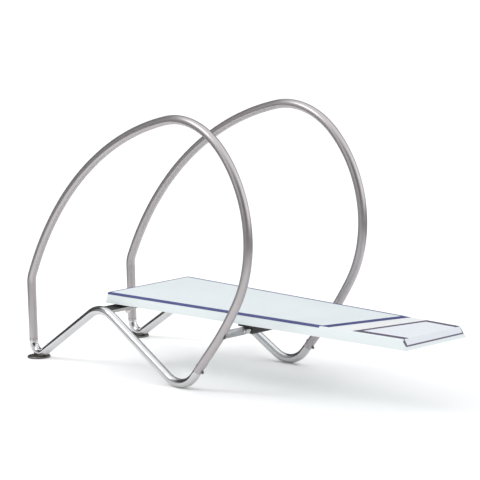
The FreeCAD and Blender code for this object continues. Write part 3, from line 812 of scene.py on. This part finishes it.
def softRing(base, axis, inner, outer, height, edge, bulge=0.0, around=48):
    # a ring of rectangular section with rounded corners; its outer face swells between them by
    # bulge * (1 - (2 z / height - 1)^2)
    steps = 4
    corners = [(inner, 0), (outer - bulge, 0), (outer - bulge, height), (inner, height)]
    centre, direction = arcFan(corners, edge, steps)
    section = centre + edge * direction
    level = np.linspace(edge, height - edge, 9)[1:-1]
    face = np.stack([np.full(len(level), outer - bulge), level], 1)
    section = np.insert(section, 2 * (steps + 1), face, axis=0)
    swell = bulge * (1 - (2 * section[:, 1] / height - 1) ** 2)
    section[:, 0] += np.where(section[:, 0] > (inner + outer) / 2, swell, 0)
    return turned(base, axis, section, around), True, False


def sidePoint(place, side):
    # a point (x, z) of the flat side frame, set in its place on one side
    return standSide(np.array([place[0], 0.0, place[1]]), side)


def sideDirection(direction, side):
    # a direction (x, z) of the flat side frame, turned outwards with it
    turn = math.radians(side * standTube["toeOut"])
    x, z = direction
    return np.array([x * math.cos(turn), x * math.sin(turn), z])


riser = headingVector(baseTube["riserAngle"])
riserAcross = np.array([-riser[1], riser[0]])
boltPlace = frontSeam + riser * fasteners["boltAboveSeam"]
tubeRadius = standTube["radius"]
boltPatches, nutPatches, rivetPatches = [], [], []
for side in (1, -1):
    outward = sideDirection(riserAcross, side)
    middle = sidePoint(boltPlace, side)
    boltPatches.append(domedPin(middle + outward * tubeRadius, outward, fasteners["boltShank"],
                                2 * tubeRadius + fasteners["boltTail"], fasteners["boltHead"],
                                fasteners["headSkirt"], fasteners["boltHeadHeight"]))
    nutBase = middle - outward * (tubeRadius - fasteners["boltNutSink"])
    nutPatches.append(domeNut(nutBase, -outward, fasteners["boltNut"], fasteners["boltNutHeight"]))
    ringPlace = sidePoint(rearSeam + np.array([0, fasteners["rivetAboveSeam"]]), side)
    for step in range(fasteners["rivetCount"]):
        angle = 2 * math.pi * step / fasteners["rivetCount"]
        spoke = np.array([math.cos(angle), math.sin(angle), 0])
        sink = fasteners["rivetSink"]
        rivetBase = ringPlace + spoke * (tubeRadius - sink)
        rivetPatches.append(domedPin(rivetBase, spoke, fasteners["rivetShank"], fasteners["rivetDepth"],
                                     fasteners["rivet"], sink, fasteners["rivetProud"] + sink))
makePiece("jointBolts", boltPatches, "stand", "dark_fastener", ["front_joint_bolts"])
makePiece("jointNuts", nutPatches, "stand", "dark_fastener", ["front_joint_nuts"])
makePiece("postRivets", rivetPatches, "stand", slotOf["rear_joint_rivets"], ["rear_joint_rivets"])

# rear mount: a stud on each side goes down through a cushion and a bush to its washer and nut
rearMount = {
    "washerEdge": 0.0006,
    "bore": 0.008,
    "bushNeck": 0.010,
    "bushNeckEdge": 0.0004,
    "bushLip": 0.018,
    "bushOverlap": 0.001,
    "bushEdge": 0.0025,
    "bushBulge": 0.0006,
    "cushionEdge": 0.0022,
    "cushionBulge": 0.0012,
}
nutLow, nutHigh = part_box("stud_nuts")
washerLow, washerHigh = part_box("stud_washers")
bushLow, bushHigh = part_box("stud_bushes")
cushionLow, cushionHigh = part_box("rear_cushions")
studX = (nutLow[0] + nutHigh[0]) / 2
studY = bushHigh[1] - (bushHigh[0] - bushLow[0]) / 2
up = np.array([0.0, 0.0, 1.0])
studNuts, studWashers, bushes, cushions = [], [], [], []
for side in (1, -1):
    foot = np.array([studX, side * studY, 0.0])
    bore, lip, overlap = rearMount["bore"], rearMount["bushLip"], rearMount["bushOverlap"]
    washerBase = foot + up * washerLow[2]
    studNuts.append(domeNut(washerBase, -up, fasteners["studNut"], fasteners["studNutHeight"]))
    studWashers.append(softRing(washerBase, up, fasteners["stud"] / 2, (washerHigh[0] - washerLow[0]) / 2,
                                washerHigh[2] - washerLow[2], rearMount["washerEdge"]))
    bushes.append(softRing(foot + up * bushLow[2], up, bore, (bushHigh[0] - bushLow[0]) / 2, lip,
                           rearMount["bushEdge"], rearMount["bushBulge"]))
    bushes.append(softRing(foot + up * (bushLow[2] + lip - overlap), up, bore, rearMount["bushNeck"],
                           bushHigh[2] - bushLow[2] - lip + overlap, rearMount["bushNeckEdge"]))
    cushions.append(softRing(foot + up * cushionLow[2], up, bore, (cushionHigh[0] - cushionLow[0]) / 2,
                             cushionHigh[2] - cushionLow[2], rearMount["cushionEdge"],
                             rearMount["cushionBulge"]))
makePiece("studNuts", studNuts, "board", slotOf["stud_nuts"], ["stud_nuts"])
makePiece("studWashers", studWashers, "board", slotOf["stud_washers"], ["stud_washers"])
makePiece("studBushes", bushes, "stand", slotOf["stud_bushes"], ["stud_bushes"])
makePiece("rearCushions", cushions, "stand", slotOf["rear_cushions"], ["rear_cushions"])
print("fasteners and rubber mounts made")


# fulcrum: stubs, cross tube, saddle, pad, and the block behind it

fulcrum = {
    "stubRadius": 0.019,
    "stubBore": 0.0175,
    "stubRow": 0.03,
    "tubeRadius": 0.0175,
    "tubeBore": 0.015,
    "endEdge": 0.0006,
    "plateThickness": 0.004,
    "plateCorner": 0.006,
    "plateEdge": 0.0012,
    "bodyLength": 0.050,
    "bodyWidth": 0.406,
    "bodyCorner": 0.008,
    "bodyEndEdge": 0.0015,
    "padCorner": 0.008,
    "padEdge": 0.0020,
    "blockCorner": 0.006,
    "blockEdge": 0.004,
}
tubeLow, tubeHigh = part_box("fulcrum_tube")
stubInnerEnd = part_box("fulcrum_stub_left")[0][1]
saddleLow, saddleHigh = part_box("fulcrum_saddle")
padLow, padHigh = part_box("fulcrum_pad")
blockLow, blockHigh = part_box("locating_block")
fulcrumX = (tubeLow[0] + tubeHigh[0]) / 2
fulcrumZ = (tubeLow[2] + tubeHigh[2]) / 2


def hoopFace(x, z, side):
    # where a line along Y at (x, z) meets the hoop: its middle plane less sqrt(radius^2 - distance^2)
    turn = math.radians(standTube["toeOut"])
    local = np.stack([(x - feetX) / math.cos(turn), z], -1)
    nearest = np.argmin(np.linalg.norm(local[..., None, :] - hoopPlaces, axis=-1), -1)
    normal = np.stack([-np.sin(hoopAngles), np.cos(hoopAngles)], 1)[nearest]
    distance = np.sum((local - hoopPlaces[nearest]) * normal, -1)
    chord = np.sqrt(np.clip(tubeRadius ** 2 - distance ** 2, 0, None)) / math.cos(turn)
    return side * (halfSpacing + local[..., 0] * math.sin(turn) - chord)


def sleeve(side, around=48):
    # rings round the fulcrum's axis, each a share of the way from a square inner end to the hoop's face
    angle = np.linspace(0, 2 * math.pi, around, endpoint=False)
    outer, bore, edge, row = (fulcrum[key] for key in ("stubRadius", "stubBore", "endEdge", "stubRow"))
    rows = []
    for radius, back, share in ((outer - edge, 0, 0), (outer, edge, 0), (outer, edge, row),
                                (outer, edge, 1 - row), (outer, edge, 1), (bore, edge, 1), (bore, edge, 0),
                                (bore + edge / 2, 0, 0)):
        x = fulcrumX + radius * np.cos(angle)
        z = fulcrumZ + radius * np.sin(angle)
        start = side * (stubInnerEnd + back)
        rows.append(np.stack([x, start + share * (hoopFace(x, z, side) - start), z], 1))
    return np.stack(rows), True, False


# the stubs take the darker plain steel finish in place of the hoops' satin one: painted shade for the shade
# under the board
for side, word in ((1, "left"), (-1, "right")):
    makePiece("fulcrumStub." + word, [sleeve(side)], "stand", "plain_steel", ["fulcrum_stub_" + word])
axle = softRing((fulcrumX, tubeLow[1], fulcrumZ), (0, 1, 0), fulcrum["tubeBore"], fulcrum["tubeRadius"],
                tubeHigh[1] - tubeLow[1], fulcrum["endEdge"])
makePiece("fulcrumTube", [axle], "stand", slotOf["fulcrum_tube"], ["fulcrum_tube"])


def plate(low, high, name, bottom=None):
    # a slab over the rectangle between two corners of a box
    corners = [(low[0], low[1]), (high[0], low[1]), (high[0], high[1]), (low[0], high[1])]
    bottom = low[2] if bottom is None else bottom
    return slab(corners, fulcrum[name + "Corner"], bottom, high[2], fulcrum[name + "Edge"]), False, True


def saddleBody():
    # a rounded section carried along Y, drawn in at both ends by edge * (1 - sin) over a quarter circle
    half, top = fulcrum["bodyLength"] / 2, saddleHigh[2] - fulcrum["plateThickness"] / 2
    corners = [(fulcrumX - half, saddleLow[2]), (fulcrumX + half, saddleLow[2]),
               (fulcrumX + half, top), (fulcrumX - half, top)]
    radius, edge, end = fulcrum["bodyCorner"], fulcrum["bodyEndEdge"], fulcrum["bodyWidth"] / 2
    centre, direction = arcFan(corners, radius, 6)
    turn = np.linspace(0, math.pi / 2, 4)
    rim = edge * (1 - np.sin(turn))
    back = edge * (1 - np.cos(turn))
    inset = np.concatenate([[edge + plateBorder], rim, rim[::-1], [edge + plateBorder]])
    along = np.concatenate([[-end], -end + back, (end - back)[::-1], [end]])
    section = centre[None] + (radius - inset)[:, None, None] * direction[None]
    level = np.broadcast_to(along[:, None], section.shape[:2])
    return np.stack([section[..., 0], level, section[..., 1]], -1), False, True


saddlePlate = plate(saddleLow, saddleHigh, "plate", saddleHigh[2] - fulcrum["plateThickness"])
makePiece("fulcrumSaddle", [saddlePlate, saddleBody()], "stand", slotOf["fulcrum_saddle"],
          ["fulcrum_saddle"])
makePiece("fulcrumPad", [plate(padLow, padHigh, "pad")], "stand", slotOf["fulcrum_pad"], ["fulcrum_pad"])
makePiece("locatingBlock", [plate(blockLow, blockHigh, "block")], "board", slotOf["locating_block"],
          ["locating_block"])
print("fulcrum made")


# weld beads

weld = {
    "radius": 0.0019,
    "ripple": 0.16,
    "pitch": 0.0022,
    "around": 10,
    "footPoints": 240,
    "footLift": 0.0004,
    "stubPoints": 220,
    "stubLift": 0.0005,
}


def bead(path):
    # a thin closed tube along a loop, with a rippled radius: radius * (1 + ripple * sin(2 pi s / pitch))
    ahead = np.roll(path, -1, 0) - np.roll(path, 1, 0)
    tangent = ahead / np.linalg.norm(ahead, axis=1, keepdims=True)
    outward = path - path.mean(0)
    outward = outward - np.sum(outward * tangent, 1, keepdims=True) * tangent
    outward = outward / np.linalg.norm(outward, axis=1, keepdims=True)
    third = np.cross(tangent, outward)
    travelled = np.concatenate([[0], np.cumsum(np.linalg.norm(np.diff(path, axis=0), axis=1))])
    ripples = max(1, round(travelled[-1] / weld["pitch"]))
    phase = 2 * math.pi * ripples * travelled / (travelled[-1] + np.linalg.norm(path[0] - path[-1]))
    radii = weld["radius"] * (1 + weld["ripple"] * np.sin(phase))
    return ringRows(path, outward, third, radii, weld["around"]), True, False


def footLoop(side):
    # where the rear bend goes into the foot disc. At a bend heading h, the tube's section is at the disc's
    # top where sin(lift angle) = (top - centre height + bend radius * cos h) / (tube radius * cos h)
    bend = baseTube["rearBend"]
    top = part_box("foot_disc_left")[1][2]
    centreX = rearSeam[0] + bend
    centreZ = rearSeam[1] - baseTube["seamAboveBend"]
    justInside = 0.999
    limit = math.acos((centreZ - top) / (bend + tubeRadius)) * justInside
    turn = np.linspace(0, 2 * math.pi, weld["footPoints"], endpoint=False)
    heading = limit * np.cos(turn)
    lift = (top - centreZ + bend * np.cos(heading)) / (tubeRadius * np.cos(heading))
    lift = np.clip(lift, -1, 1)
    x = centreX + bend * np.sin(heading) - tubeRadius * lift * np.sin(heading)
    y = tubeRadius * np.sqrt(1 - lift ** 2) * np.sign(np.sin(turn))
    return standSide(np.stack([x, y, np.full_like(x, top + weld["footLift"])], 1), side)


def stubLoop(side):
    # a circle just outside the stub, each point moved along Y to the hoop's face
    angle = np.linspace(0, 2 * math.pi, weld["stubPoints"], endpoint=False)
    radius = fulcrum["stubRadius"] + weld["stubLift"]
    x, z = fulcrumX + radius * np.cos(angle), fulcrumZ + radius * np.sin(angle)
    return np.stack([x, hoopFace(x, z, side) - side * weld["stubLift"], z], 1)


makePiece("footWelds", [bead(footLoop(side)) for side in (1, -1)], "stand", "foot_metal")
makePiece("stubWelds", [bead(stubLoop(side)) for side in (1, -1)], "stand", "plain_steel")
print("welds made")


# floor, light and camera

studio = {
    "floorColour": (0.93, 0.93, 0.93),
    "floorRoughness": 0.9,
    "floorSize": 400.0,
    "worldStrength": 1.45,
    "tentStrength": 1.16,
    "tentColour": (0.99, 0.995, 1.0),
    "clothFrom": 2.3,
    "clothTo": 150.0,
    "clothHeight": 0.002,
    "clothSides": 48,
    "clothColour": (0.12, 0.12, 0.125),
    "wallStops": ((0.0, 0.04), (0.07, 0.05), (0.12, 0.38), (0.17, 0.68), (0.25, 0.65), (0.30, 0.10),
                  (0.37, 0.02), (0.43, 0.05), (0.48, 0.70), (0.54, 1.15), (0.66, 1.15), (0.74, 0.50),
                  (0.82, 0.12), (0.90, 0.05), (1.0, 0.04)),
    "ceilingFrom": (0.58, 0.80),
    "ceilingColour": (0.98, 0.99, 1.0),
    "keyPlace": (-3.0, -4.5, 6.0),
    "keyTarget": (0.0, 0.0, 0.4),
    "keySize": 3.0,
    "keyPower": 130.0,
}

floorMesh = bpy.data.meshes.new("floor")
reach = studio["floorSize"] / 2
floorMesh.from_pydata([(-reach, -reach, 0), (reach, -reach, 0), (reach, reach, 0), (-reach, reach, 0)], [],
                      [(0, 1, 2, 3)])
floor = bpy.data.objects.new("floor", floorMesh)
bpy.context.scene.collection.objects.link(floor)
floorMaterial = bpy.data.materials.new("floorPaint")
floorMaterial.use_nodes = True
floorShader = floorMaterial.node_tree.nodes["Principled BSDF"]
floorShader.inputs["Base Color"].default_value = (*studio["floorColour"], 1.0)
floorShader.inputs["Roughness"].default_value = studio["floorRoughness"]
floorShader.inputs["Specular IOR Level"].default_value = 0.0
floorMesh.materials.append(floorMaterial)

# dark cloth laid round the set, seen only in reflections
angle = np.linspace(0, 2 * math.pi, studio["clothSides"], endpoint=False)
rim = np.stack([np.cos(angle), np.sin(angle), np.zeros_like(angle)], 1)
rings = np.stack([studio["clothFrom"] * rim, studio["clothTo"] * rim])
rings[..., 2] = studio["clothHeight"]
flatPoints, clothFaces = gridFaces(rings, False, False)[:2]
clothMesh = bpy.data.meshes.new("darkCloth")
clothMesh.from_pydata(flatPoints.tolist(), [], clothFaces.tolist())
cloth = bpy.data.objects.new("darkCloth", clothMesh)
bpy.context.scene.collection.objects.link(cloth)
clothMaterial = bpy.data.materials.new("clothBlack")
clothMaterial.use_nodes = True
clothShader = clothMaterial.node_tree.nodes["Principled BSDF"]
clothShader.inputs["Base Color"].default_value = (*studio["clothColour"], 1.0)
clothShader.inputs["Roughness"].default_value = 1.0
clothShader.inputs["Specular IOR Level"].default_value = 0.0
clothMesh.materials.append(clothMaterial)
for ray in ("camera", "diffuse", "shadow", "transmission", "volume_scatter"):
    setattr(cloth, "visible_" + ray, False)

world = bpy.data.worlds.new("softRoom")
bpy.context.scene.world = world
world.use_nodes = True
sky = world.node_tree


def levelRamp(tree, factor, stops):
    # a curve of grey levels against a factor from 0 to 1
    node = addNode(tree, "ShaderNodeValToRGB", Fac=factor)
    elements = node.color_ramp.elements
    while len(elements) < len(stops):
        elements.new(0.5)
    for element, (position, level) in zip(elements, stops):
        element.position = position
        element.color = (level, level, level, 1.0)
    return node.outputs["Color"]


# the room: a bright ceiling over walls whose brightness is a curve of the compass direction
skyDirection = addNode(sky, "ShaderNodeTexCoord").outputs["Generated"]
skyParts = addNode(sky, "ShaderNodeSeparateXYZ", Vector=skyDirection)
compass = math2(sky, "ARCTAN2", skyParts.outputs["Y"], skyParts.outputs["X"])
compassShare = addNode(sky, "ShaderNodeMapRange", Value=compass, From_Min=-math.pi, From_Max=math.pi)
walls = levelRamp(sky, compassShare.outputs[0], studio["wallStops"])
ceilingShare = addNode(sky, "ShaderNodeMapRange", {"interpolation_type": "SMOOTHSTEP"},
                       Value=skyParts.outputs["Z"], From_Min=studio["ceilingFrom"][0],
                       From_Max=studio["ceilingFrom"][1])
room = mixColour(sky, ceilingShare.outputs[0], walls, studio["ceilingColour"])
sky.links.new(room, sky.nodes["Background"].inputs["Color"])
sky.nodes["Background"].inputs["Strength"].default_value = studio["worldStrength"]

# reflections show the room; everything else is lit and backed by an even white tent
tent = sky.nodes.new("ShaderNodeBackground")
tent.inputs["Color"].default_value = (*studio["tentColour"], 1.0)
tent.inputs["Strength"].default_value = studio["tentStrength"]
skyMix = sky.nodes.new("ShaderNodeMixShader")
glossyRay = sky.nodes.new("ShaderNodeLightPath").outputs["Is Glossy Ray"]
sky.links.new(glossyRay, skyMix.inputs["Fac"])
sky.links.new(tent.outputs[0], skyMix.inputs[1])
sky.links.new(sky.nodes["Background"].outputs[0], skyMix.inputs[2])
sky.links.new(skyMix.outputs[0], sky.nodes["World Output"].inputs["Surface"])


def softLight(name, place, target, size, power):
    # a round soft light that faces its target
    data = bpy.data.lights.new(name, "AREA")
    data.shape = "DISK"
    data.size = size
    data.energy = power
    light = bpy.data.objects.new(name, data)
    light.location = place
    light.rotation_euler = (Vector(target) - Vector(place)).to_track_quat("-Z", "Y").to_euler()
    bpy.context.scene.collection.objects.link(light)
    return light


softLight("keyLight", studio["keyPlace"], studio["keyTarget"], studio["keySize"], studio["keyPower"])
print("studio made")

cameraView = {
    "place": (10.16109, -9.66687, 3.06662),
    "heading": 46.5295,
    "down": 9.70677,
    "roll": -1.5744,
    "lens": 225.304,
    "sensor": 36.0,
    "seesTo": 500.0,
}
heading, down, roll = (math.radians(cameraView[key]) for key in ("heading", "down", "roll"))
forward = Vector((-math.sin(heading) * math.cos(down), math.cos(heading) * math.cos(down), -math.sin(down)))
right = Vector((math.cos(heading), math.sin(heading), 0))
above = right.cross(forward)
cameraX = math.cos(roll) * right + math.sin(roll) * above
cameraY = -math.sin(roll) * right + math.cos(roll) * above
cameraData = bpy.data.cameras.new("camera")
cameraData.lens = cameraView["lens"]
cameraData.sensor_width = cameraView["sensor"]
cameraData.clip_end = cameraView["seesTo"]
camera = bpy.data.objects.new("camera", cameraData)
bpy.context.scene.collection.objects.link(camera)
camera.matrix_world = Matrix.Translation(cameraView["place"]) @ Matrix(
    (cameraX, cameraY, -forward)).transposed().to_4x4()
bpy.context.scene.camera = camera
bpy.context.scene.view_settings.view_transform = "Standard"

print("scene ready")
